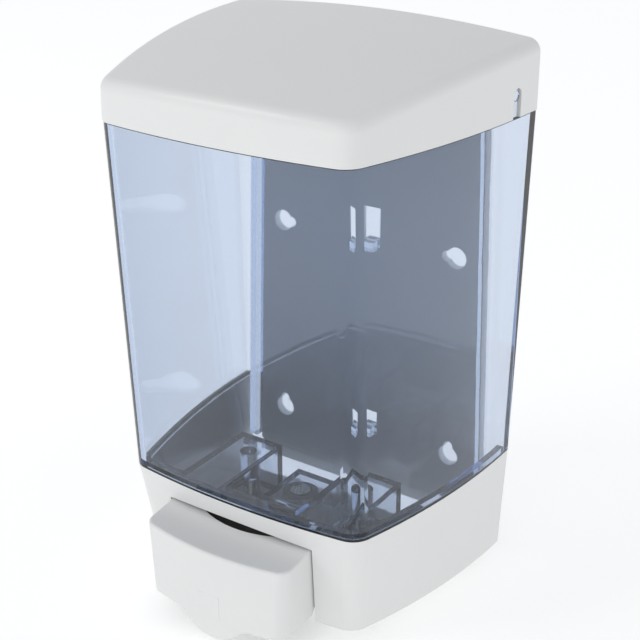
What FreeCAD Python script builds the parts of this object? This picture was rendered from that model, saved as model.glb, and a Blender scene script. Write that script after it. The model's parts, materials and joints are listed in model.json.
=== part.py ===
import FreeCAD, Part
import math
import os
import re
import Sketcher

# Wall mounted bulk soap dispenser: a clear reservoir on a white base, a lift-off lid, and a hinged push bar
# that drives a horizontal piston pump. Millimetres. X runs along the wall, -Y is the front, +Z is up.
# Heights are measured from the base's lower edge while modelling. Each finished piece is then placed
# origin_height lower, which puts the origin on the wall, midway between the four mounting keyholes.

V = FreeCAD.Vector
doc = FreeCAD.newDocument("soap_dispenser")
nodes = {}

dims = {
    # overall plan outline at four levels: half width at the wall, half width at the front corner, depth
    "origin_height": 80.5, "wall_gap": 0.3,
    "low_rear": 64.6, "low_front": 47.9, "low_depth": 86.9,
    "rim_height": 44.8, "rim_rear": 66.5, "rim_front": 52.6, "rim_depth": 93.2,
    "shoulder_height": 186.6, "shoulder_rear": 68.9, "shoulder_front": 52.5, "shoulder_depth": 100.4,
    "top_height": 198, "top_rear": 66.9, "top_front": 50.5, "top_depth": 98.4,
    "skirt_height": 187, "skirt_rear": 69.2, "skirt_front": 52.8, "skirt_depth": 100.7,
    "roof_height": 222, "roof_rear": 69, "roof_front": 52.4, "roof_depth": 100.3,
    "side_bow": 3.8, "front_bow": 4, "corner": 9,
    # lid
    "lid_wall": 1.6, "crown_radius": 580, "crown_height": 216.4, "arch_radius": 480,
    "arch_front_y": -112, "arch_front_height": 201.2, "arch_rear_y": 3, "arch_rear_height": 216.4,
    "lid_edge": 5, "slot_y": -15.7, "slot_width": 5.2, "slot_top": 195.3,
    "snap_pin_radius": 2.1, "snap_pin_foot": 65.2, "snap_pin_reach": 68.1,
    # reservoir
    "tank_wall": 2.2, "side_wall": 3.2, "neck_wall": 1.5,
    "sump_floor": 20, "sump_inset": 3.4, "ledge_top": 40, "ledge_y": -79.2,
    "recess_gap": 1.3, "recess_depth": 7.5,
    "hump_inner": 17, "hump_outer": 38, "hump_rear_y": -40,
    "boss_half": 10, "boss_top": 30, "boss_front_y": -64, "boss_rear_y": -38,
    "post_radius": 3.6, "pilot_radius": 1.25, "pilot_depth": 9,
    "rear_post_x": 52, "rear_post_y": -16, "front_post_x": 44, "front_post_y": -71,
    "hook_half": 3, "hook_thick": 4, "hook_lip": 5, "upper_slot": 120, "upper_slot_top": 138,
    "lower_slot": 35, "lower_slot_top": 46, "slot_half": 4,
    # wall bracket
    "plate_low_half": 54, "plate_high_half": 48.3, "plate_low": 8, "plate_high": 188,
    "plate_front": 3.8, "plate_thick": 2, "key_rim": 2.5,
    "frame_width": 4, "key_x": 40, "key_low": 36.5, "key_high": 124.5, "key_radius": 4.5,
    "key_neck": 2.3, "key_length": 11,
    # base housing
    "base_wall": 2.5, "base_floor": 2, "floor_thick": 1.8, "window_half": 57.5,
    "opening_low_half": 31.9, "opening_half": 33.8, "opening_top": 36, "opening_rise": 1.4,
    "channel_half": 9, "channel_rear_y": -38, "opening_foot": -5,
    "floor_front_y": -77, "screw_hole": 1.7, "screw_head": 3.2, "screw_shank": 1.2,
    # push bar and its hinge
    "hinge_y": -86.5, "hinge_height": 32, "pin_radius": 1.5, "pin_clearance": 0.05,
    "boss_inner": 34.8, "pin_end": 39.5, "bar_half": 33.2, "bar_low_half": 31.4, "bar_rear_y": -83,
    "bar_front_y": -111.5, "bar_bow": 3, "bar_corner": 5, "bar_low": 3.5, "bar_high": 35.4,
    "bar_front_high": 33.8, "bar_wall": 2.5, "deck_thick": 3, "deck_rear_y": -91, "bar_edge": 1.2,
    "notch_front_y": -97.6, "notch_radius": 38, "tongue_half": 22, "tongue_low": -5,
    "tongue_set": 1, "tongue_thick": 2.4, "pusher_half": 5, "pusher_y": -98,
    "pusher_low": 5, "pusher_high": 15,
    # splash guard behind the push bar
    "guard_half": 28, "guard_rear_y": -88.5, "guard_thick": 1.2, "guard_low": 21, "guard_top": 37.3,
    # pump
    "pump_height": 10.2, "barrel_radius": 7.2, "barrel_bore": 5.8, "barrel_front_y": -83,
    "barrel_rear_y": -44, "barrel_end": 2.4, "neck_y": -51, "neck_radius": 6, "neck_flange": 7.4,
    "neck_bore": 3,
    "seat_radius": 4.4, "cage_floor": 17.5, "seat_height": 23, "neck_top": 25.8, "seat_hole": 1.8,
    "ball_radius": 2.6, "cage_slot": 0.9, "outlet_y": -64, "outlet_port": 2, "spigot_radius": 4,
    "spigot_low": 0.6, "ear_half": 31.5, "ear_front_y": -56, "ear_rear_y": -45, "ear_low": 15,
    "ear_high": 17.4, "pump_screw_x": 27, "pump_screw_y": -50.5,
    "piston_y": -80, "piston_head": 4, "piston_radius": 5.5, "seal_radius": 5.74, "rod_radius": 3,
    "pad_radius": 5, "pad_dome": 6, "pad_gap": 0.3, "pad_rear_y": -93.6,
    "cap_front_y": -86, "cap_radius": 8.2, "spring_radius": 4.2, "spring_wire": 0.45, "spring_turns": 8,
    "strainer_radius": 4.1, "strainer_hole": 0.5, "screw_head_height": 1.7, "screw_length": 10.5,
}

sheet = doc.addObject("Spreadsheet::Sheet", "Dims")
for row, (alias, size) in enumerate(dims.items(), start=1):
    sheet.set(f"A{row}", alias)
    sheet.set(f"B{row}", str(size))
    sheet.setAlias(f"B{row}", alias)
doc.recompute()


def bound(text):
    """Turns dimension names in a formula into references to the sheet's cells."""
    return re.sub(r"[a-z_]+", lambda word: "Dims." + word[0] if word[0] in dims else word[0], str(text))


def number(text):
    """The present value of a formula, for first positions and for choices made in this script."""
    return float(sheet.evalExpression(bound(text)))


def bind(item, **sizes):
    """Binds plain properties of an object to formulas."""
    for path, text in sizes.items():
        item.setExpression(path, bound(text))
    return item


def move(item, x=0, y=0, z=0):
    """Binds an object's place to formulas."""
    for axis, text in zip("xyz", (x, y, z)):
        item.setExpression(f"Placement.Base.{axis}", bound(text))
    return item


# solids and booleans

def box(name, x, y, z):
    """A block between a low and a high formula on each axis."""
    item = doc.addObject("Part::Box", name)
    bind(item, Length=f"({x[1]}) - ({x[0]})", Width=f"({y[1]}) - ({y[0]})", Height=f"({z[1]}) - ({z[0]})")
    return move(item, x[0], y[0], z[0])


def rod(name, along, radius, across, low, high):
    """A cylinder along one axis, from low to high, centred on the other two axes at across."""
    item = doc.addObject("Part::Cylinder", name)
    direction = {"x": V(1, 0, 0), "y": V(0, 1, 0), "z": V(0, 0, 1)}[along]
    item.Placement = FreeCAD.Placement(V(), FreeCAD.Rotation(V(0, 0, 1), direction))
    bind(item, Radius=radius, Height=f"({high}) - ({low})")
    first, second = across
    place = {"x": (low, first, second), "y": (first, low, second), "z": (first, second, low)}[along]
    return move(item, *place)


def fuse(name, *items):
    item = doc.addObject("Part::MultiFuse", name)
    item.Shapes = list(items)
    return item


def common(name, *items):
    item = doc.addObject("Part::MultiCommon", name)
    item.Shapes = list(items)
    return item


def cut(name, base, *tools):
    item = doc.addObject("Part::Cut", name)
    item.Base = base
    item.Tool = tools[0] if len(tools) == 1 else fuse(name + "_tools", *tools)
    return item


def pair(name, maker):
    """The left and right copies of one shape, made by maker(suffix, sign)."""
    return fuse(name, maker(name + "_left", "-1"), maker(name + "_right", "1"))


def finish(name, item, x=0, y=0, z=0):
    """Names a finished sub-part and lowers it to the origin height."""
    item.Label = name
    move(item, x, y, f"({z}) - origin_height")
    nodes[name] = item
    return item


# sketches

def circleThrough(start, end, radius):
    """Centre of the circle through two points that turns to the left from start to end."""
    chord = end - start
    rise = math.sqrt(max(radius ** 2 - (chord.Length / 2) ** 2, 0))
    return (start + end) / 2 + V(-chord.y, chord.x, 0).normalize() * rise


def angleOf(centre, point):
    return math.atan2(point.y - centre.y, point.x - centre.x)


def turningArc(centre, radius, start, end):
    """A counter-clockwise arc between two points."""
    first, last = angleOf(centre, start), angleOf(centre, end)
    if last < first:
        last += 2 * math.pi
    return Part.ArcOfCircle(Part.Circle(centre, V(0, 0, 1), radius), first, last)


def hold(sketch, kind, *where):
    """Adds one constraint, with its size bound to the formula given last where it has one."""
    if kind in ("Coincident", "Tangent", "PointOnObject"):
        sketch.addConstraint(Sketcher.Constraint(kind, *where))
        return
    *place, text = where
    index = sketch.addConstraint(Sketcher.Constraint(kind, *place, number(text)))
    sketch.setExpression(f"Constraints[{index}]", bound(text))


def holdPoint(sketch, edge, end, x, y):
    hold(sketch, "DistanceX", -1, 1, edge, end, x)
    hold(sketch, "DistanceY", -1, 1, edge, end, y)


def drawProfile(sketch, points):
    """A closed profile of (x, y) corners. A third value is the radius of the arc to the next corner,
    positive where it turns left. Every corner and radius is bound to its formula."""
    corners = [V(number(point[0]), number(point[1]), 0) for point in points]
    ends = []
    for index, point in enumerate(points):
        start, end = corners[index], corners[(index + 1) % len(points)]
        if len(point) == 2:
            sketch.addGeometry(Part.LineSegment(start, end))
            ends.append((1, 2))
            continue
        radius = number(point[2])
        if radius > 0:
            centre = circleThrough(start, end, radius)
            sketch.addGeometry(turningArc(centre, radius, start, end))
            ends.append((1, 2))
        else:
            centre = circleThrough(end, start, -radius)
            sketch.addGeometry(turningArc(centre, -radius, end, start))
            ends.append((2, 1))
    for index, point in enumerate(points):
        following = (index + 1) % len(points)
        hold(sketch, "Coincident", index, ends[index][1], following, ends[following][0])
        holdPoint(sketch, index, ends[index][0], point[0], point[1])
        if len(point) == 3:
            hold(sketch, "Radius", index, f"abs({point[2]})")


def bodySketch(body, role, points):
    """A profile sketch on one of the body's own origin planes."""
    sketch = body.newObject("Sketcher::SketchObject", body.Name + "_profile")
    plane = next(item for item in body.Origin.OriginFeatures if item.Role == role)
    sketch.AttachmentSupport = [(plane, "")]
    sketch.MapMode = "FlatFace"
    drawProfile(sketch, points)
    return sketch


def prism(name, role, points, low, high):
    """A body with one pad, from low to high along the plane's normal."""
    body = doc.addObject("PartDesign::Body", name)
    sketch = bodySketch(body, role, points)
    sketch.setExpression("AttachmentOffset.Base.z", bound(low))
    pad = body.newObject("PartDesign::Pad", name + "_pad")
    pad.Profile = sketch
    pad.setExpression("Length", bound(f"({high}) - ({low})"))
    sketch.Visibility = False
    return body


def turned(name, points, along="z"):
    """A body turned about its axis: points are (radius, place along the axis)."""
    body = doc.addObject("PartDesign::Body", name)
    sketch = bodySketch(body, "XZ_Plane", points)
    spin = body.newObject("PartDesign::Revolution", name + "_turn")
    spin.Profile = sketch
    spin.ReferenceAxis = (sketch, ["V_Axis"])
    spin.Angle = 360
    if along == "y":
        body.Placement = FreeCAD.Placement(V(), FreeCAD.Rotation(V(0, 0, 1), V(0, 1, 0)))
    return body


def inset(rear, front, depth, wall):
    """An outline's three sizes, moved inwards by a wall thickness."""
    slant = f"sqrt(1 + ((({rear}) - ({front})) / ({depth}))^2)"
    return (f"({rear}) - ({wall}) * {slant}",
            f"({front}) + (({rear}) - ({front})) * ({wall}) / ({depth}) - ({wall}) * {slant}",
            f"({depth}) - ({wall})")


def outline(name, height, sizes, rear_gap="wall_gap", wall="0"):
    """Plan outline at one height: a straight back, bowed sides that narrow to a bowed front, and rounded
    front corners. wall draws it that much further in, with its back at rear_gap from the wall."""
    rear, front, depth = sizes if wall == "0" else inset(*sizes, wall)
    sketch = doc.addObject("Sketcher::SketchObject", name)
    sketch.setExpression("Placement.Base.z", bound(height))
    side = f"((({rear}) - ({front}))^2 + (({depth}) - {rear_gap})^2)"
    side_radius = f"({side} / 4 + side_bow^2) / (2 * side_bow)"
    front_radius = f"(({front})^2 + front_bow^2) / (2 * front_bow)"
    corner_radius = f"corner - ({wall})"
    back = V(number(rear), -number(rear_gap), 0)
    tip = V(number(front), -number(depth), 0)
    sideR, frontR, cornerR = number(side_radius), number(front_radius), number(corner_radius)
    sideC = circleThrough(tip, back, sideR)
    frontC = circleThrough(V(-tip.x, tip.y, 0), tip, frontR)
    gap = frontC - sideC
    near, far = sideR - cornerR, frontR - cornerR
    run = (gap.Length ** 2 + near ** 2 - far ** 2) / (2 * gap.Length)
    rise = math.sqrt(near ** 2 - run ** 2)
    unit = gap / gap.Length
    options = [sideC + unit * run + V(-unit.y, unit.x, 0) * rise * turn for turn in (1, -1)]
    cornerC = min(options, key=lambda point: (point - tip).Length)
    onSide = cornerC + (cornerC - sideC).normalize() * cornerR
    onFront = cornerC + (cornerC - frontC).normalize() * cornerR

    def across(point):
        return V(-point.x, point.y, 0)

    sketch.addGeometry(Part.LineSegment(back, across(back)))
    sketch.addGeometry(turningArc(across(sideC), sideR, across(back), across(onSide)))
    sketch.addGeometry(turningArc(across(cornerC), cornerR, across(onSide), across(onFront)))
    sketch.addGeometry(turningArc(frontC, frontR, across(onFront), onFront))
    sketch.addGeometry(turningArc(cornerC, cornerR, onFront, onSide))
    sketch.addGeometry(turningArc(sideC, sideR, onSide, back))
    hold(sketch, "Coincident", 0, 2, 1, 1)
    hold(sketch, "Coincident", 5, 2, 0, 1)
    for edge in (1, 2, 3, 4):
        hold(sketch, "Tangent", edge, 2, edge + 1, 1)
    for edge, radius in ((1, side_radius), (5, side_radius), (2, corner_radius), (4, corner_radius),
                         (3, front_radius)):
        hold(sketch, "Radius", edge, radius)
    holdPoint(sketch, 0, 1, rear, f"0 - ({rear_gap})")
    holdPoint(sketch, 0, 2, f"0 - ({rear})", f"0 - ({rear_gap})")
    for sign, edge in (("-1", 1), ("1", 5)):
        point = sketch.addGeometry(Part.Point(V(float(sign) * tip.x, tip.y, 0)), True)
        holdPoint(sketch, point, 1, f"({sign}) * ({front})", f"0 - ({depth})")
        hold(sketch, "PointOnObject", point, 1, edge)
        hold(sketch, "PointOnObject", point, 1, 3)
    return sketch


def loft(name, low, high):
    item = doc.addObject("Part::Loft", name)
    item.Sections = [low, high]
    item.Solid = True
    item.Ruled = True
    return item


lowSizes = ("low_rear", "low_front", "low_depth")
rimSizes = ("rim_rear", "rim_front", "rim_depth")
shoulderSizes = ("shoulder_rear", "shoulder_front", "shoulder_depth")
topSizes = ("top_rear", "top_front", "top_depth")
skirtSizes = ("skirt_rear", "skirt_front", "skirt_depth")
roofSizes = ("roof_rear", "roof_front", "roof_depth")


# wall bracket: a tray that lies open side to the wall, with keyholes and two slots for the tank's hooks

def keyhole(name, x, z, dx, dz):
    """A round head hole with a narrow neck that runs off along (dx, dz)."""
    length = "key_length - key_radius - key_neck"
    x_end, z_end = f"({x}) + ({dx}) * ({length})", f"({z}) + ({dz}) * ({length})"
    head = rod(name + "_head", "y", "key_radius", (x, z), "0 - plate_front - 1", "1")
    tip = rod(name + "_tip", "y", "key_neck", (x_end, z_end), "0 - plate_front - 1", "1")
    if dz == 0:
        low, high = (x_end, x) if dx < 0 else (x, x_end)
        neck = box(name + "_neck", (low, high), ("0 - plate_front - 1", "1"),
                   (f"({z}) - key_neck", f"({z}) + key_neck"))
    else:
        neck = box(name + "_neck", (f"({x}) - key_neck", f"({x}) + key_neck"), ("0 - plate_front - 1", "1"),
                   (z, z_end))
    return fuse(name, head, neck, tip)


def taper(name, gap, low, high, front, back):
    """A slab with the bracket's taper, its sides further out by a gap, between two heights."""
    slope = "(plate_high_half - plate_low_half) / (plate_high - plate_low)"
    ends = [f"plate_low_half + ({gap}) + (({height}) - plate_low) * {slope}" for height in (low, high)]
    return prism(name, "XZ_Plane", [(f"0 - ({ends[0]})", low), (ends[0], low), (ends[1], high),
                                    (f"0 - ({ends[1]})", high)], f"0 - ({back})", f"0 - ({front})")


def makeBracket():
    plate = taper("bracket_block", "0", "plate_low", "plate_high", "0 - plate_front", "0")
    hollow = taper("bracket_hollow", "0 - frame_width", "plate_low + frame_width",
                   "plate_high - frame_width", "plate_thick - plate_front", "1")
    holes = []
    for side in (-1, 1):
        hand = "left" if side < 0 else "right"
        holes.append(keyhole(f"low_key_{hand}", f"{side} * key_x", "key_low", 0, 1))
        holes.append(keyhole(f"high_key_{hand}", f"{side} * key_x", "key_high", -side, 0))
    through = ("0 - plate_front - 1", "1")
    slots = [box(f"{level}_hook_slot", ("0 - slot_half", "slot_half"), through,
                 (f"{level}_slot", f"{level}_slot_top")) for level in ("upper", "lower")]
    bosses = [rod(f"{level}_boss_{'left' if side < 0 else 'right'}", "y", "key_radius + key_rim",
                  (f"{side} * key_x", f"key_{level}"), "0 - plate_front", "0")
              for side in (-1, 1) for level in ("low", "high")]
    tray = cut("bracket_tray", plate, hollow)
    finish("wall_bracket", cut("bracket", fuse("bracket_with_bosses", tray, *bosses), *holes, *slots))


# reservoir: a clear moulding, bowed box above the rim and a smaller sump below it

def makeReservoir():
    shell = loft("tank_outside", outline("tank_rim", "rim_height", rimSizes),
                 outline("tank_shoulder", "shoulder_height", shoulderSizes))
    neck = loft("tank_neck", outline("neck_foot", "shoulder_height - 1", topSizes),
                outline("neck_top_edge", "top_height", topSizes))
    low = "sump_floor - tank_wall"
    sump = loft("sump_outside",
                outline("sump_low", low, lowSizes, wall="sump_inset - 0.3"),
                outline("sump_rim", "rim_height + tank_wall", rimSizes, wall="sump_inset"))
    wide = ("-100", "100")
    underLedge = box("under_ledge", wide, ("-120", "ledge_y - tank_wall"),
                     ("0", "ledge_top - tank_wall"))
    underHumps = pair("under_humps", lambda name, side: box(
        name,
        (f"({side}) * (hump_inner + hump_outer) / 2 - (hump_outer - hump_inner) / 2 + tank_wall",
         f"({side}) * (hump_inner + hump_outer) / 2 + (hump_outer - hump_inner) / 2 - tank_wall"),
        ("ledge_y - 2 * tank_wall", "hump_rear_y - tank_wall"), ("0", "ledge_top - tank_wall")))
    underBoss = box("under_boss", ("tank_wall - boss_half", "boss_half - tank_wall"),
                    ("boss_front_y + tank_wall", "boss_rear_y - tank_wall"), ("0", "boss_top - tank_wall"))
    bracketRecess = taper("bracket_recess", "recess_gap", "0", "top_height + 2", "0 - recess_depth", "5")
    space = loft("tank_space",
                 outline("space_rim", "rim_height + tank_wall", rimSizes, "tank_wall + wall_gap",
                         "side_wall"),
                 outline("space_shoulder", "shoulder_height", shoulderSizes, "tank_wall + wall_gap",
                         "side_wall"))
    neckSpace = loft("neck_space",
                     outline("neck_space_foot", "shoulder_height - 0.5", topSizes, "tank_wall + wall_gap",
                             "neck_wall"),
                     outline("neck_space_top", "top_height + 1", topSizes, "tank_wall + wall_gap",
                             "neck_wall"))
    sumpSpace = loft("sump_space",
                     outline("sump_space_low", "sump_floor", lowSizes, "tank_wall + wall_gap",
                             "sump_inset - 0.3 + tank_wall"),
                     outline("sump_space_rim", "rim_height + tank_wall + 0.1", rimSizes,
                             "tank_wall + wall_gap", "sump_inset + tank_wall"))
    ledge = box("ledge", wide, ("-120", "ledge_y"), ("0", "ledge_top"))
    humps = pair("humps", lambda name, side: box(
        name,
        (f"({side}) * (hump_inner + hump_outer) / 2 - (hump_outer - hump_inner) / 2",
         f"({side}) * (hump_inner + hump_outer) / 2 + (hump_outer - hump_inner) / 2"),
        ("ledge_y - 1", "hump_rear_y"), ("0", "ledge_top")))
    boss = box("boss", ("0 - boss_half", "boss_half"), ("boss_front_y", "boss_rear_y"), ("0", "boss_top"))
    backWall = taper("back_wall", "recess_gap + tank_wall", "0", "top_height + 2",
                     "0 - recess_depth - tank_wall", "5")
    spaces = fuse("tank_spaces", space, neckSpace, sumpSpace)
    inside = cut("tank_inside", spaces, ledge, humps, boss, backWall)
    outside = cut("tank_body", fuse("tank_blocks", shell, neck, sump), underLedge, underHumps, underBoss,
                  bracketRecess)
    walls = cut("tank_walls", outside, inside)
    snapPins = pair("snap_pins", lambda name, side: rod(
        name, "x", "snap_pin_radius", ("slot_y", "slot_top - 0.2"),
        f"({side}) * (snap_pin_reach + snap_pin_foot) / 2 - (snap_pin_reach - snap_pin_foot) / 2",
        f"({side}) * (snap_pin_reach + snap_pin_foot) / 2 + (snap_pin_reach - snap_pin_foot) / 2"))
    posts, pilots = [], []
    for end in ("rear", "front"):
        for side in ("-1", "1"):
            name = f"{end}_post_{'left' if side == '-1' else 'right'}"
            place = (f"({side}) * {end}_post_x", f"{end}_post_y")
            foot = "base_floor + floor_thick"
            posts.append(rod(name, "z", "post_radius", place, foot, "sump_floor - 1"))
            pilots.append(rod(name + "_pilot", "z", "pilot_radius", place, foot, f"{foot} + pilot_depth"))
    for side in ("-1", "1"):
        name = f"pump_post_{'left' if side == '-1' else 'right'}"
        place = (f"({side}) * pump_screw_x", "pump_screw_y")
        posts.append(rod(name, "z", "post_radius", place, "ear_high", "ledge_top - 1"))
        pilots.append(rod(name + "_pilot", "z", "pilot_radius", place, "ear_high",
                          "ear_high + pilot_depth"))
    hooks = []
    for level in ("upper", "lower"):
        foot = f"{level}_slot + 0.2"
        hooks.append(box(f"{level}_hook_stem", ("0 - hook_half", "hook_half"),
                         ("0 - recess_depth - 0.5", "0.6 - plate_front + plate_thick"),
                         (foot, f"{foot} + hook_thick")))
        hooks.append(box(f"{level}_hook_lip", ("0 - hook_half", "hook_half"),
                         ("0.2 - plate_front + plate_thick", "-0.4"),
                         (f"{foot} - hook_lip", f"{foot} + hook_thick")))
    inlet = rod("inlet_hole", "z", "strainer_radius + 0.1", ("0", "neck_y"), "boss_top - tank_wall - 1",
                "boss_top + 1")
    finish("reservoir", cut("tank", fuse("tank_fittings", walls, snapPins, *posts, *hooks), inlet, *pilots))


# lid: a shallow cap with an arched, crowned roof

def roofSolid(name, drop):
    """The space under the roof: an arch in side view, swept round the crown's long radius."""
    sketch = doc.addObject("Sketcher::SketchObject", name + "_arch")
    sketch.Placement = FreeCAD.Placement(V(), FreeCAD.Rotation(V(0, 1, 0), V(0, 0, 1), V(1, 0, 0), "XYZ"))
    drawProfile(sketch, [("arch_rear_y", "skirt_height - 30"),
                         ("arch_rear_y", f"arch_rear_height - ({drop})", "arch_radius"),
                         ("arch_front_y", f"arch_front_height - ({drop})"),
                         ("arch_front_y", "skirt_height - 30")])
    solid = doc.addObject("Part::Revolution", name)
    solid.Source = sketch
    solid.Axis = V(0, 1, 0)
    solid.Angle = 18
    solid.Symmetric = True
    solid.Solid = True
    solid.setExpression("Base.z", bound("crown_height - crown_radius"))
    return solid


def makeLid():
    block = loft("lid_block", outline("lid_skirt", "skirt_height", skirtSizes),
                 outline("lid_roof", "roof_height", roofSizes))
    sharp = common("lid_sharp", block, roofSolid("roof_outside", "0"))
    doc.recompute()
    topEdges = [index for index, edge in enumerate(sharp.Shape.Edges, start=1)
                if edge.BoundBox.ZMin > number("skirt_height + 5") and edge.BoundBox.YMin < -1
                and abs(edge.tangentAt(edge.FirstParameter).z) < 0.8]
    rounded = doc.addObject("Part::Fillet", "lid_rounded")
    rounded.Base = sharp
    rounded.Edges = [(index, number("lid_edge"), number("lid_edge")) for index in topEdges]
    spaceBlock = loft("lid_space_block",
                      outline("lid_space_skirt", "skirt_height - 1", skirtSizes, "lid_wall + wall_gap",
                              "lid_wall"),
                      outline("lid_space_roof", "roof_height", roofSizes, "lid_wall + wall_gap",
                              "lid_wall"))
    spaceSharp = common("lid_space", spaceBlock, roofSolid("roof_inside", "lid_wall + 0.2"))
    rearGap = box("lid_rear_gap", ("lid_wall - skirt_rear", "skirt_rear - lid_wall"),
                  ("-5", "5"), ("skirt_height - 5", "top_height + 1.2"))
    slot = box("lid_slots", ("-100", "100"), ("slot_y - slot_width / 2", "slot_y + slot_width / 2"),
               ("skirt_height - 5", "slot_top"))
    slotEnd = rod("lid_slot_ends", "x", "slot_width / 2", ("slot_y", "slot_top"), "-100", "100")
    finish("lid", cut("lid_shell", rounded, spaceSharp, rearGap, slot, slotEnd))


# base housing: an open-backed white shell with a floor, a front opening and two hinge bosses

def makeBase():
    shell = loft("base_outside", outline("base_low", "0", lowSizes),
                 outline("base_rim", "rim_height", rimSizes))
    slope = "(floor_thick + base_floor) / rim_height"
    spaceSizes = tuple(f"{low} + ({rim} - {low}) * {slope}" for low, rim in zip(lowSizes, rimSizes))
    space = loft("base_space", outline("base_space_low", "floor_thick + base_floor", spaceSizes, "0 - 2",
                                       "base_wall"),
                 outline("base_space_rim", "rim_height + 0.1", rimSizes, "0 - 2", "base_wall"))
    under = loft("base_under", outline("base_under_low", "-0.1", lowSizes, "0 - 2", "base_wall"),
                 outline("base_under_high", "base_floor", lowSizes, "0 - 2", "base_wall"))
    window = box("base_window", ("0 - window_half", "window_half"), ("-12", "5"), ("-5", "60"))
    foot = "opening_low_half + opening_foot * (opening_half - opening_low_half) / opening_top"
    opening = prism("base_opening", "XZ_Plane", [
        (f"0 - ({foot})", "opening_foot"), (foot, "opening_foot"),
        ("opening_half", "opening_top", "(opening_half^2 + opening_rise^2) / (2 * opening_rise)"),
        ("0 - opening_half", "opening_top")], "0 - floor_front_y", "120")
    channel = box("base_channel", ("0 - channel_half", "channel_half"), ("-120", "channel_rear_y"),
                  ("-5", "20"))
    holes = [rod(f"base_hole_{end}_{side}", "z", "screw_hole",
                 (f"({side}) * {end}_post_x", f"{end}_post_y"), "-5", "20")
             for end in ("rear", "front") for side in (-1, 1)]
    pocket = rod("hinge_holes", "x", "pin_radius + pin_clearance", ("hinge_y", "hinge_height"), "-42", "42")
    bosses = pair("hinge_bosses", lambda name, side: box(
        name, (f"({side}) * (boss_inner + 2.6) - 2.6", f"({side}) * (boss_inner + 2.6) + 2.6"),
        ("hinge_y - 5.5", "hinge_y + 3.5"), ("hinge_height - 4", "hinge_height + 4.4")))
    walls = cut("base_walls", shell, space, under, window, opening, channel)
    finish("base_housing", cut("base", fuse("base_fittings", walls, bosses), pocket, *holes))


def makeBaseScrews():
    def screw(name, x, y):
        head = rod(name + "_head", "z", "screw_head", (x, y), "base_floor - screw_head_height", "base_floor")
        shank = rod(name + "_shank", "z", "screw_shank", (x, y), "base_floor", "base_floor + screw_length")
        recess = [box(f"{name}_cross_{turn}", (f"({x}) - {wide}", f"({x}) + {wide}"),
                      (f"({y}) - {deep}", f"({y}) + {deep}"), ("base_floor - 2", "base_floor - 0.9"))
                  for turn, (wide, deep) in enumerate(((1.7, 0.4), (0.4, 1.7)))]
        return cut(name, fuse(name + "_blank", head, shank), *recess)

    screws = [screw(f"base_screw_{end}_{'left' if side < 0 else 'right'}", f"({side}) * {end}_post_x",
                    f"{end}_post_y") for end in ("rear", "front") for side in (-1, 1)]
    finish("base_screws", compound("base_screw_set", screws))


def compound(name, items):
    item = doc.addObject("Part::Compound", name)
    item.Links = items
    return item


# push bar: a bowed cover with a dished top, hinged under the base's front edge

def barOutline(name, wall, height):
    """The bar's plan outline at one height, drawn in by a wall."""
    rise = f"(({height}) - bar_low) / (bar_high - bar_low)"
    half = f"bar_low_half + (bar_half - bar_low_half) * {rise} - ({wall})"
    front = f"bar_front_y + ({wall})"
    corner = f"bar_corner - ({wall}) / 2"
    bow = f"((({half}) - ({corner}))^2 + bar_bow^2) / (2 * bar_bow)"
    sketch = doc.addObject("Sketcher::SketchObject", name)
    sketch.setExpression("Placement.Base.z", bound(height))
    drawProfile(sketch, [
        (f"0 - ({half})", "bar_rear_y"),
        (f"0 - ({half})", f"({front}) + ({corner})", f"({corner}) * 1.02"),
        (f"({corner}) - ({half})", front, bow),
        (f"({half}) - ({corner})", front, f"({corner}) * 1.02"),
        (half, f"({front}) + ({corner})"),
        (half, "bar_rear_y")])
    return sketch


def barBlock(name, wall, low, high):
    return loft(name, barOutline(name + "_low", wall, low), barOutline(name + "_high", wall, high))


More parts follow.
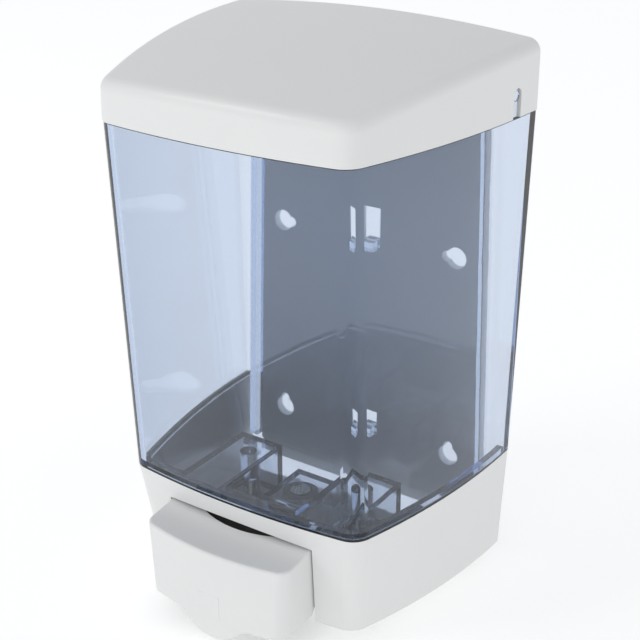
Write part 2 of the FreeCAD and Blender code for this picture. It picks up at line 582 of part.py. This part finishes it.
def makePushBar():
    block = barBlock("bar_block", "0", "bar_low", "bar_high")
    slope = prism("bar_slope", "YZ_Plane", [
        ("bar_rear_y + 1", "bar_high - 10"), ("bar_rear_y + 1", "bar_high"), ("notch_front_y", "bar_high"),
        ("-120", "bar_front_high - 0.9"), ("-120", "-1"), ("hinge_y - 6.5", "-1"),
        ("bar_rear_y + 1", "22")], "-40", "40")
    outside = common("bar_outside", block, slope)
    doc.recompute()
    topEdges = [index for index, edge in enumerate(outside.Shape.Edges, start=1)
                if edge.BoundBox.ZMin > number("bar_front_high - 3") and edge.BoundBox.YMax < -100
                and edge.BoundBox.ZLength < 2]
    rounded = doc.addObject("Part::Fillet", "bar_rounded")
    rounded.Base = outside
    rounded.Edges = [(index, number("bar_edge"), number("bar_edge")) for index in topEdges]
    deck = "bar_high - 2 - deck_thick"
    hollow = barBlock("bar_hollow", "bar_wall", "-2", deck)
    inner = "bar_half - bar_wall - 0.6"
    clear = box("bar_rear_clear", (f"0 - ({inner})", inner), ("deck_rear_y", "-70"), (f"{deck} - 1", "60"))
    notch = rod("bar_notch", "z", "notch_radius", ("0", "notch_front_y + notch_radius"),
                f"{deck} - 1", "60")
    drop = "bar_low - tongue_low"
    curve = f"(tongue_half^2 + ({drop})^2) / (4 * ({drop}))"
    middle = "(bar_low + tongue_low) / 2"
    tongueShape = prism("bar_tongue_shape", "XZ_Plane", [
        ("0 - tongue_half", "bar_low + 6"), ("0 - tongue_half", "bar_low", f"0 - {curve}"),
        ("0 - tongue_half / 2", middle, curve), ("tongue_half / 2", middle, f"0 - {curve}"),
        ("tongue_half", "bar_low"), ("tongue_half", "bar_low + 6")], "100", "120")
    tongueBlock = common("bar_tongue_block", tongueShape,
                         barBlock("bar_tongue_front", "tongue_set", "tongue_low - 1", "bar_low + 6"))
    tongue = cut("bar_tongue", tongueBlock,
                 barBlock("bar_tongue_back", "tongue_set + tongue_thick", "tongue_low - 2", "bar_low + 7"))
    pusher = box("bar_pusher", ("0 - pusher_half", "pusher_half"), ("bar_front_y - 3", "pusher_y"),
                 ("pusher_low", "pusher_high"))
    holes = rod("bar_pin_holes", "x", "pin_radius", ("hinge_y", "hinge_height"), "-40", "40")
    shell = cut("bar_shell", rounded, hollow, clear, notch)
    finish("push_bar", cut("bar", fuse("bar_fittings", shell, tongue, pusher), holes))
    finish("push_bar_pins", pair("bar_pins", lambda name, side: rod(
        name, "x", "pin_radius", ("hinge_y", "hinge_height"),
        f"({side}) * (pin_end + bar_half - bar_wall) / 2 - (pin_end - bar_half + bar_wall) / 2",
        f"({side}) * (pin_end + bar_half - bar_wall) / 2 + (pin_end - bar_half + bar_wall) / 2")))


def makeGuard():
    """A thin wall behind the bar, with a lip that follows the inside of the base's front."""
    plate = box("guard_plate", ("0 - guard_half", "guard_half"),
                ("guard_rear_y - guard_thick", "guard_rear_y"), ("guard_low", "guard_top"))
    lip = box("guard_lip", ("0 - guard_half", "guard_half"), ("-100", "guard_rear_y"),
              ("guard_top - guard_thick", "guard_top"))
    inside = loft("guard_limit", outline("guard_limit_low", "0", lowSizes, "0 - 2", "base_wall + 0.05"),
                  outline("guard_limit_rim", "rim_height", rimSizes, "0 - 2", "base_wall + 0.05"))
    finish("splash_guard", common("guard", fuse("guard_solid", plate, lip), inside))


# pump: a horizontal barrel under the sump, fed through a ball valve above it

def makePump():
    barrel = rod("barrel_tube", "y", "barrel_radius", ("0", "pump_height"), "barrel_front_y",
                 "barrel_rear_y")
    neck = rod("barrel_neck", "z", "neck_radius", ("0", "neck_y"), "pump_height", "neck_top")
    flange = rod("barrel_flange", "z", "neck_flange", ("0", "neck_y"), "neck_top - 2.2", "neck_top")
    ears = box("barrel_ears", ("0 - ear_half", "ear_half"), ("ear_front_y", "ear_rear_y"),
               ("ear_low", "ear_high"))
    spigot = rod("barrel_spigot", "z", "spigot_radius", ("0", "outlet_y"), "spigot_low", "pump_height")
    bore = rod("barrel_bore_space", "y", "barrel_bore", ("0", "pump_height"), "barrel_front_y - 1",
               "barrel_rear_y - barrel_end")
    cage = rod("ball_cage", "z", "neck_bore", ("0", "neck_y"), "cage_floor", "neck_top + 1")
    seatBore = rod("seat_bore", "z", "seat_radius", ("0", "neck_y"), "seat_height", "neck_top + 1")
    port = box("cage_port", ("0.1 - neck_bore", "neck_bore - 0.1"),
               ("neck_y - cage_slot", "neck_y + cage_slot"), ("pump_height", "cage_floor + 1"))
    outlet = rod("outlet_port_space", "z", "outlet_port", ("0", "outlet_y"), "-5", "pump_height")
    screwHoles = pair("ear_holes", lambda name, side: rod(
        name, "z", "screw_hole", (f"({side}) * pump_screw_x", "pump_screw_y"), "0", "30"))
    finish("pump_barrel", cut("barrel", fuse("barrel_solid", barrel, neck, flange, ears, spigot),
                              bore, cage, seatBore, port, outlet, screwHoles))

    def screw(name, side):
        place = (f"({side}) * pump_screw_x", "pump_screw_y")
        head = rod(name + "_head", "z", "screw_head", place, "ear_low - screw_head_height", "ear_low")
        shank = rod(name + "_shank", "z", "screw_shank", place, "ear_low", "ear_low + screw_length")
        return fuse(name, head, shank)

    finish("pump_screws", compound("pump_screw_set", [screw("pump_screw_left", "-1"),
                                                      screw("pump_screw_right", "1")]))

    finish("barrel_cap", turned("cap", [
        ("rod_radius + 0.06", "cap_front_y"), ("cap_radius - 1", "cap_front_y"),
        ("cap_radius", "cap_front_y + 1"), ("cap_radius", "barrel_front_y"),
        ("barrel_bore - 0.02", "barrel_front_y"), ("barrel_bore - 0.02", "barrel_front_y + 2"),
        ("4.6", "barrel_front_y + 2"), ("4.6", "barrel_front_y - 0.6"),
        ("rod_radius + 0.06", "barrel_front_y - 0.6")], "y"), z="pump_height")
    finish("rod_wiper", turned("wiper", [
        ("rod_radius + 0.02", "barrel_front_y - 0.5"), ("4.5", "barrel_front_y - 0.5"),
        ("4.5", "barrel_front_y + 1.2"), ("rod_radius + 0.02", "barrel_front_y + 1.2")], "y"),
        z="pump_height")
    tip = "pusher_y + pad_gap"
    rim = f"({tip}) + pad_dome - sqrt(pad_dome^2 - pad_radius^2)"
    finish("piston_rod", turned("piston", [
        ("0", tip, "pad_dome"), ("pad_radius", rim), ("pad_radius", "pad_rear_y"),
        ("rod_radius", "pad_rear_y"), ("rod_radius", "piston_y"), ("piston_radius", "piston_y"),
        ("piston_radius", "piston_y + 1"), ("4.4", "piston_y + 1"), ("4.4", "piston_y + 3"),
        ("piston_radius", "piston_y + 3"), ("piston_radius", "piston_y + piston_head"),
        ("0", "piston_y + piston_head")], "y"), z="pump_height")
    finish("piston_seal", turned("seal", [
        ("4.4", "piston_y + 1.05"), ("5.3", "piston_y + 1.05"), ("seal_radius", "piston_y + 1.5"),
        ("seal_radius", "piston_y + 2.5"), ("5.3", "piston_y + 2.95"), ("4.4", "piston_y + 2.95")], "y"),
        z="pump_height")
    finish("inlet_gasket", turned("gasket", [
        ("4.3", "neck_top"), ("neck_flange", "neck_top"), ("neck_flange", "boss_top - tank_wall"),
        ("4.3", "boss_top - tank_wall")]), y="neck_y")
    finish("inlet_seat", turned("seat", [
        ("seat_hole", "seat_height"), ("seat_radius - 0.02", "seat_height"),
        ("seat_radius - 0.02", "neck_top"), ("2.6", "neck_top"),
        ("seat_hole", "neck_top - 1.4")]), y="neck_y")
    ballHeight = "cage_floor + sqrt(ball_radius^2 - cage_slot^2) + 0.03"
    ball = doc.addObject("Part::Sphere", "ball")
    bind(ball, Radius="ball_radius")
    finish("inlet_ball", ball, y="neck_y", z=ballHeight)
    disc = rod("strainer_disc", "z", "strainer_radius", ("0", "0"), "boss_top - 1.8", "boss_top - 0.6")
    holes = [rod("strainer_hole", "z", "strainer_hole", ("0", "0"), "boss_top - 3", "boss_top")]
    for ring, count in ((1.5, 6), (2.9, 12)):
        for step in range(count):
            turn = 2 * math.pi * step / count
            holes.append(rod(f"strainer_hole_{count}_{step}", "z", "strainer_hole",
                             (f"{ring * math.cos(turn):.4f}", f"{ring * math.sin(turn):.4f}"),
                             "boss_top - 3", "boss_top"))
    finish("inlet_strainer", cut("strainer", disc, *holes), y="neck_y")
    makeSpring()
    makeOutlet()


def makeSpring():
    """A compression spring between the piston and the barrel's closed end."""
    start = "piston_y + piston_head + spring_wire + 0.1"
    length = "barrel_rear_y - barrel_end - spring_wire - 0.1 - (" + start + ")"
    helix = doc.addObject("Part::Helix", "spring_path")
    bind(helix, Radius="spring_radius", Height=length, Pitch=f"({length}) / spring_turns")
    helix.Placement = FreeCAD.Placement(V(), FreeCAD.Rotation(V(0, 0, 1), V(0, 1, 0)))
    move(helix, "0", start, "0")
    wire = doc.addObject("Part::Circle", "spring_section")
    bind(wire, Radius="spring_wire")
    wire.Placement = FreeCAD.Placement(V(), FreeCAD.Rotation(V(0, 0, 1), V(0, 0, -1)))
    move(wire, "spring_radius", start, "0")
    coil = doc.addObject("Part::Sweep", "spring_coil")
    coil.Sections = [wire]
    coil.Spine = (helix, ["Edge1"])
    coil.Solid = True
    coil.Frenet = True
    finish("return_spring", coil, z="pump_height")


def makeOutlet():
    """Rubber duckbill valve under the barrel, held by a screwed nozzle ring."""
    collar = turned("nozzle_ring", [
        ("2.9", "-2.6"), ("4.6", "-2.6"), ("5.6", "-1.6"), ("5.6", "2.2"), ("spigot_radius + 0.02", "2.2"),
        ("spigot_radius + 0.02", "-1.2"), ("2.9", "-1.2")])
    finish("nozzle", collar, y="outlet_y")
    flange = rod("duckbill_flange", "z", "spigot_radius - 0.05", ("0", "0"), "-1.2", "spigot_low")
    body = doc.addObject("Part::Cone", "duckbill_cone")
    bind(body, Radius1="1.5", Radius2="2.7", Height="4.2")
    move(body, "0", "0", "-5.3")
    lips = box("duckbill_lips", ("-2.2", "2.2"), ("-0.7", "0.7"), ("-5.3", "-3"))
    passage = rod("duckbill_passage", "z", "1.4", ("0", "0"), "-3.6", "spigot_low + 1")
    slit = box("duckbill_slit", ("-1.4", "1.4"), ("-0.1", "0.1"), ("-6", "-3.4"))
    valve = cut("duckbill", fuse("duckbill_solid", flange, body, lips), passage, slit)
    finish("outlet_valve", valve, y="outlet_y")


makeBracket()
makeReservoir()
makeLid()
makeBase()
makeBaseScrews()
makePushBar()
makeGuard()
makePump()
doc.recompute()

for item in doc.Objects:
    if "Invalid" in item.State or "Error" in item.State:
        raise RuntimeError(f"{item.Name}: {item.State}")

os.makedirs("parts", exist_ok=True)
for label, item in nodes.items():
    shape = item.Shape
    if shape.isNull() or not shape.isValid() or not shape.Solids:
        raise RuntimeError(f"{label}: no valid solid")
    shape.exportStep(os.path.join("parts", label + ".step"))
    limits = shape.BoundBox
    print(f"{label:16s} solids {len(shape.Solids)}  volume {shape.Volume:9.1f}  "
          f"x {limits.XMin:7.2f} {limits.XMax:7.2f}  y {limits.YMin:8.2f} {limits.YMax:7.2f}  "
          f"z {limits.ZMin:7.2f} {limits.ZMax:7.2f}")
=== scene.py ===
import json
import math

import bpy
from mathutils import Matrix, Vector


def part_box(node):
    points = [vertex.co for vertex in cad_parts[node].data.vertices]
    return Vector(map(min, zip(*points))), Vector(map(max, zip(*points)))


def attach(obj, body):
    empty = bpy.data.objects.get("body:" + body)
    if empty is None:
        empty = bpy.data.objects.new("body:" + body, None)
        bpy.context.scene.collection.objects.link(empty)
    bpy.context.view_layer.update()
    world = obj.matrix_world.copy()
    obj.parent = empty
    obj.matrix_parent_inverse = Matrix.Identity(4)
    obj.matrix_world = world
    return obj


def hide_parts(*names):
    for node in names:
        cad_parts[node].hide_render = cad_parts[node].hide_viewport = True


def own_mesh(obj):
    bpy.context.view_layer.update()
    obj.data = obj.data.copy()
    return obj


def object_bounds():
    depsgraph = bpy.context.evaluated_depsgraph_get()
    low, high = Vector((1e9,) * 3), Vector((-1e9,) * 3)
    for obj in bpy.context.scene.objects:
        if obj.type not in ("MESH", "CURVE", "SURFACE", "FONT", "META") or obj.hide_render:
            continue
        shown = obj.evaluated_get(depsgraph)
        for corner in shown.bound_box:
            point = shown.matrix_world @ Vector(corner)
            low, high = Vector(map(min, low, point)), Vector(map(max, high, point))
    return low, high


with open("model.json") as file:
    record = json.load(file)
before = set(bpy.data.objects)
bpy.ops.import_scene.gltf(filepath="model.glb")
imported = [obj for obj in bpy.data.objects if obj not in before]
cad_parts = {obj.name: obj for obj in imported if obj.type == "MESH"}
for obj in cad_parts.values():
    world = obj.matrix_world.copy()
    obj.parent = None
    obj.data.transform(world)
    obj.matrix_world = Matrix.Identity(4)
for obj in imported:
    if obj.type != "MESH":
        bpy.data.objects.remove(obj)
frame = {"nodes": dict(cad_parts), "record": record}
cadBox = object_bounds()
nodes = frame["nodes"]
mm = 0.001


def deselectAll():
    bpy.ops.object.select_all(action="DESELECT")


def linearColour(hexText, alpha=1.0):
    channels = [int(hexText[i:i + 2], 16) / 255 for i in (0, 2, 4)]
    return [c / 12.92 if c <= 0.04045 else ((c + 0.055) / 1.055) ** 2.4 for c in channels] + [alpha]


def addNode(tree, kind, settings=None, links=None):
    node = tree.nodes.new(kind)
    for name, value in (settings or {}).items():
        if name in node.inputs:
            node.inputs[name].default_value = value
        else:
            setattr(node, name, value)
    for name, source in (links or {}).items():
        tree.links.new(source, node.inputs[name])
    return node


def newMaterial(name, settings):
    material = bpy.data.materials.new(name)
    material.use_nodes = True
    tree = material.node_tree
    tree.nodes.clear()
    shader = addNode(tree, "ShaderNodeBsdfPrincipled", settings)
    addNode(tree, "ShaderNodeOutputMaterial", links={"Surface": shader.outputs["BSDF"]})
    return material, tree, shader


def patternScale(sizeInMm):
    return 1 / (sizeInMm * mm)


def noise(tree, place, size, detail):
    return addNode(tree, "ShaderNodeTexNoise",
                   {"Scale": patternScale(size), "Detail": detail, "Roughness": 0.6}, {"Vector": place})


def surface(tree, shader, look):
    place = addNode(tree, "ShaderNodeTexCoord").outputs["Object"]
    if look["stretch"] != (1, 1, 1):
        stretched = addNode(tree, "ShaderNodeMapping", {"Scale": look["stretch"]}, {"Vector": place})
        place = stretched.outputs["Vector"]
    grain = noise(tree, place, look["grain"], 3.0)                 # fine texture of the tool or the die
    wave = noise(tree, place, look["wave"], 1.0)                   # slow sink and ripple in the skin
    low = addNode(tree, "ShaderNodeBump", {"Strength": look["waveBump"], "Distance": 0.3 * mm},
                  {"Height": wave.outputs["Fac"]})
    fine = addNode(tree, "ShaderNodeBump", {"Strength": look["grainBump"], "Distance": 0.03 * mm},
                   {"Height": grain.outputs["Fac"], "Normal": low.outputs["Normal"]})
    tree.links.new(fine.outputs["Normal"], shader.inputs["Normal"])
    cloud = noise(tree, place, look["cloud"], 4.0)                 # handling marks: gloss comes and goes
    gloss = addNode(tree, "ShaderNodeMapRange",
                    {"From Min": 0.3, "From Max": 0.7,
                     "To Min": look["roughLow"], "To Max": look["roughHigh"]},
                    {"Value": cloud.outputs["Fac"]})
    tree.links.new(gloss.outputs["Result"], shader.inputs["Roughness"])
    if "dark" in look:
        tint = addNode(tree, "ShaderNodeMix", {"data_type": "RGBA"})
        tint.inputs[6].default_value = linearColour(look["dark"])
        tint.inputs[7].default_value = linearColour(look["light"])
        tree.links.new(cloud.outputs["Fac"], tint.inputs[0])
        tree.links.new(tint.outputs[2], shader.inputs["Base Color"])


plain = {"stretch": (1, 1, 1), "grain": 0.35, "grainBump": 0.25, "wave": 35, "waveBump": 0.06, "cloud": 24}

# ABS, injection moulded in a lightly polished tool: even white with a soft satin sheen
white, tree, shader = newMaterial("whiteMouldedAbs", {"IOR": 1.54})
surface(tree, shader, dict(plain, roughLow=0.3, roughHigh=0.4, dark="dfe0e0", light="e5e5e4"))

# ABS from a spark-eroded tool: the same plastic, duller, because the tool's skin scatters the light
bracketAbs, tree, shader = newMaterial("textureMouldedAbs", {"IOR": 1.54})
surface(tree, shader, dict(plain, grain=0.6, grainBump=0.12, roughLow=0.5, roughHigh=0.62,
                           dark="e6edf4", light="eff4f9"))

# styrene acrylonitrile, clear and blue tinted: bright faces, dark edges where the light goes the long way
clearTank, tree, shader = newMaterial("tintedClearSan", {
    "IOR": 1.5, "Transmission Weight": 1.0, "Base Color": linearColour("ffffff")})
surface(tree, shader, dict(plain, grain=8, grainBump=0.05, waveBump=0.02, cloud=30,
                           roughLow=0.01, roughHigh=0.04))
absorb = addNode(tree, "ShaderNodeVolumeAbsorption", {"Color": linearColour("6ba2d6"), "Density": 82.0})
tree.links.new(absorb.outputs["Volume"], tree.get_output_node("ALL").inputs["Volume"])

# polypropylene without pigment: milky, waxy and a little grey
natural, tree, shader = newMaterial("naturalPolypropylene", {"IOR": 1.49, "Subsurface Weight": 0.15,
                                                             "Subsurface Scale": 1.5 * mm})
surface(tree, shader, dict(plain, cloud=9, roughLow=0.4, roughHigh=0.5, dark="cfd3d2", light="d9dcda"))

# acetal, injection moulded: a denser, warmer white than polypropylene, and glossier
acetal, tree, shader = newMaterial("mouldedAcetal", {"IOR": 1.48})
surface(tree, shader, dict(plain, cloud=7, roughLow=0.26, roughHigh=0.36, dark="e4e3da", light="ebeae3"))

# polypropylene with carbon black, from a fine matt tool: near black with a faint grey bloom. The splash
# guard behind the push bar is made black as painted shade, so the slit above the bar reads dark
shadeBlack, tree, shader = newMaterial("shadeBlackGuardPolypropylene", {"IOR": 1.49})
surface(tree, shader, dict(plain, grain=0.25, grainBump=0.5, cloud=8, roughLow=0.45, roughHigh=0.6,
                           dark="131315", light="1d1d1f"))

# stainless steel, turned heads: bright, with a fine broken grain that spreads the highlights
turned, tree, shader = newMaterial("turnedStainless", {"Metallic": 1.0})
surface(tree, shader, dict(plain, grain=0.08, grainBump=0.3, wave=4, cloud=3, roughLow=0.22, roughHigh=0.34,
                           dark="b3b2ae", light="c2c1bd"))

# stainless spring wire, drawn: a slightly grey skin, its grain closer along the coil's axis
drawn, tree, shader = newMaterial("drawnSpringWire", {"Metallic": 1.0})
surface(tree, shader, dict(plain, stretch=(1, 4, 1), grain=0.06, grainBump=0.4, wave=4, cloud=2,
                           roughLow=0.25, roughHigh=0.4, dark="a5a4a0", light="b8b7b3"))

# stainless bearing ball, lapped: close to a mirror
lapped, tree, shader = newMaterial("lappedStainless", {"Metallic": 1.0})
surface(tree, shader, dict(plain, grain=0.05, grainBump=0.05, wave=3, waveBump=0.01, cloud=2,
                           roughLow=0.05, roughHigh=0.1, dark="c4c4c2", light="cfcfcd"))

# nitrile rubber, compression moulded: deep grey with a dusty dull skin
nitrile, tree, shader = newMaterial("nitrileRubber", {"IOR": 1.52})
surface(tree, shader, dict(plain, grain=0.12, grainBump=0.6, cloud=3, roughLow=0.6, roughHigh=0.75,
                           dark="151514", light="20201f"))

# silicone, liquid injection moulded: cloudy, lets light into its thin lips
silicone, tree, shader = newMaterial("liquidMouldedSilicone", {"IOR": 1.41, "Subsurface Weight": 0.4,
                                                              "Subsurface Scale": 2 * mm})
surface(tree, shader, dict(plain, grain=0.15, cloud=3, roughLow=0.42, roughHigh=0.55,
                           dark="c9cdcd", light="d6dada"))

finishes = {"white_cover": white, "clear_tank": clearTank, "bracket_plastic": bracketAbs,
            "pump_plastic": natural, "piston_plastic": acetal, "guard_plastic": shadeBlack, "screw_steel": turned,
            "spring_steel": drawn, "ball_steel": lapped, "seal_rubber": nitrile, "valve_silicone": silicone}
for part in frame["record"]["subparts"]:
    mesh = nodes[part["node"]].data
    mesh.materials.clear()
    mesh.materials.append(finishes[part["material_slot"]])
print("materials on the CAD nodes")

# return spring, wound round the piston rod

spring = {"wire": 0.45 * mm, "turns": 8, "steps": 40, "sides": 12, "stroke": 7 * mm}  # stroke to the limit
low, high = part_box("return_spring")
middle = (low + high) / 2
coilRadius = (high.x - low.x) / 2 - spring["wire"]
length = high.y - low.y - 2 * spring["wire"]
deselectAll()
bpy.ops.mesh.primitive_circle_add(vertices=spring["sides"], radius=spring["wire"])
coil = bpy.context.object
coil.name = "coilSpring"
bpy.ops.object.mode_set(mode="EDIT")
bpy.ops.mesh.select_all(action="SELECT")
bpy.ops.transform.rotate(value=math.pi / 2, orient_axis="X", center_override=(0, 0, 0))
bpy.ops.transform.translate(value=(coilRadius, 0, 0))
bpy.ops.object.mode_set(mode="OBJECT")
screw = coil.modifiers.new("wind", "SCREW")
screw.axis = "Z"
screw.angle = 2 * math.pi
screw.screw_offset = length / spring["turns"]
screw.iterations = spring["turns"]
screw.steps = screw.render_steps = spring["steps"]
bpy.ops.object.modifier_apply(modifier=screw.name)
bpy.ops.object.mode_set(mode="EDIT")
bpy.ops.mesh.select_mode(type="EDGE")
bpy.ops.mesh.select_all(action="DESELECT")
bpy.ops.mesh.select_non_manifold()
bpy.ops.mesh.fill_holes(sides=0)                                   # both cut ends of the wire
bpy.ops.mesh.select_all(action="SELECT")
bpy.ops.transform.rotate(value=-math.pi / 2, orient_axis="X", center_override=(0, 0, 0))
bpy.ops.transform.translate(value=(0, high.y - spring["wire"], middle.z))
bpy.ops.mesh.normals_make_consistent(inside=False)
bpy.ops.object.mode_set(mode="OBJECT")
bpy.ops.object.shade_smooth_by_angle(angle=math.radians(50))
coil.data.materials.append(drawn)
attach(coil, "dispenser")
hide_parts("return_spring")
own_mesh(coil)
print("return spring wound")

# pale floor and a plain studio

studio = {"floorSize": 6, "floorGap": 2 * mm, "horizon": 0.84, "zenith": 0.6, "aim": (0, -0.05, 0.02)}
deselectAll()
bpy.ops.mesh.primitive_plane_add(size=studio["floorSize"], location=(0, 0, cadBox[0].z - studio["floorGap"]))
floor = bpy.context.object
floor.name = "floor"
paleFloor = newMaterial("paleFloor", {
    "Base Color": linearColour("e6e6e6"), "Roughness": 0.9,
    "Emission Color": linearColour("ffffff"), "Emission Strength": 0.42})    # glows a little, to read white
floor.data.materials.append(paleFloor[0])

world = bpy.data.worlds.new("paleStudio")
bpy.context.scene.world = world
world.use_nodes = True
tree = world.node_tree
place = addNode(tree, "ShaderNodeTexCoord").outputs["Generated"]
height = addNode(tree, "ShaderNodeSeparateXYZ", links={"Vector": place}).outputs["Z"]
sky = addNode(tree, "ShaderNodeMapRange",
              {"From Min": 0.0, "From Max": 1.0, "To Min": studio["horizon"], "To Max": studio["zenith"]},
              {"Value": height})
tree.links.new(sky.outputs["Result"], tree.nodes["Background"].inputs["Strength"])
tree.nodes["Background"].inputs["Color"].default_value = linearColour("fbfdff")


def areaLight(name, place, size, power):
    lamp = bpy.data.lights.new(name, "AREA")
    lamp.shape = "RECTANGLE"
    lamp.size, lamp.size_y = size
    lamp.energy = power
    item = bpy.data.objects.new(name, lamp)
    bpy.context.scene.collection.objects.link(item)
    item.location = place
    item.rotation_mode = "QUATERNION"
    item.rotation_quaternion = (Vector(studio["aim"]) - Vector(place)).to_track_quat("-Z", "Y")


areaLight("keyLight", (-0.9, -1.1, 1.1), (0.6, 0.6), 4)
areaLight("frontLight", (0.4, -1.5, 0.25), (1.4, 1.0), 2.2)

camera = {"place": (0.265369, -0.433189, 0.231191), "azimuth": 33.92, "elevation": 23.97, "lens": 74.18}
azimuth, elevation = math.radians(camera["azimuth"]), math.radians(camera["elevation"])
back = Vector((math.sin(azimuth) * math.cos(elevation), -math.cos(azimuth) * math.cos(elevation),
               math.sin(elevation)))
lensData = bpy.data.cameras.new("studioCamera")
lensData.lens = camera["lens"]
lensData.sensor_width = 36
lensData.clip_start, lensData.clip_end = 0.01, 20
studioCamera = bpy.data.objects.new("studioCamera", lensData)
bpy.context.scene.collection.objects.link(studioCamera)
studioCamera.location = camera["place"]
studioCamera.rotation_mode = "QUATERNION"
studioCamera.rotation_quaternion = (-back).to_track_quat("-Z", "Y")
bpy.context.scene.camera = studioCamera
bpy.context.scene.view_settings.view_transform = "Standard"
print("studio set")
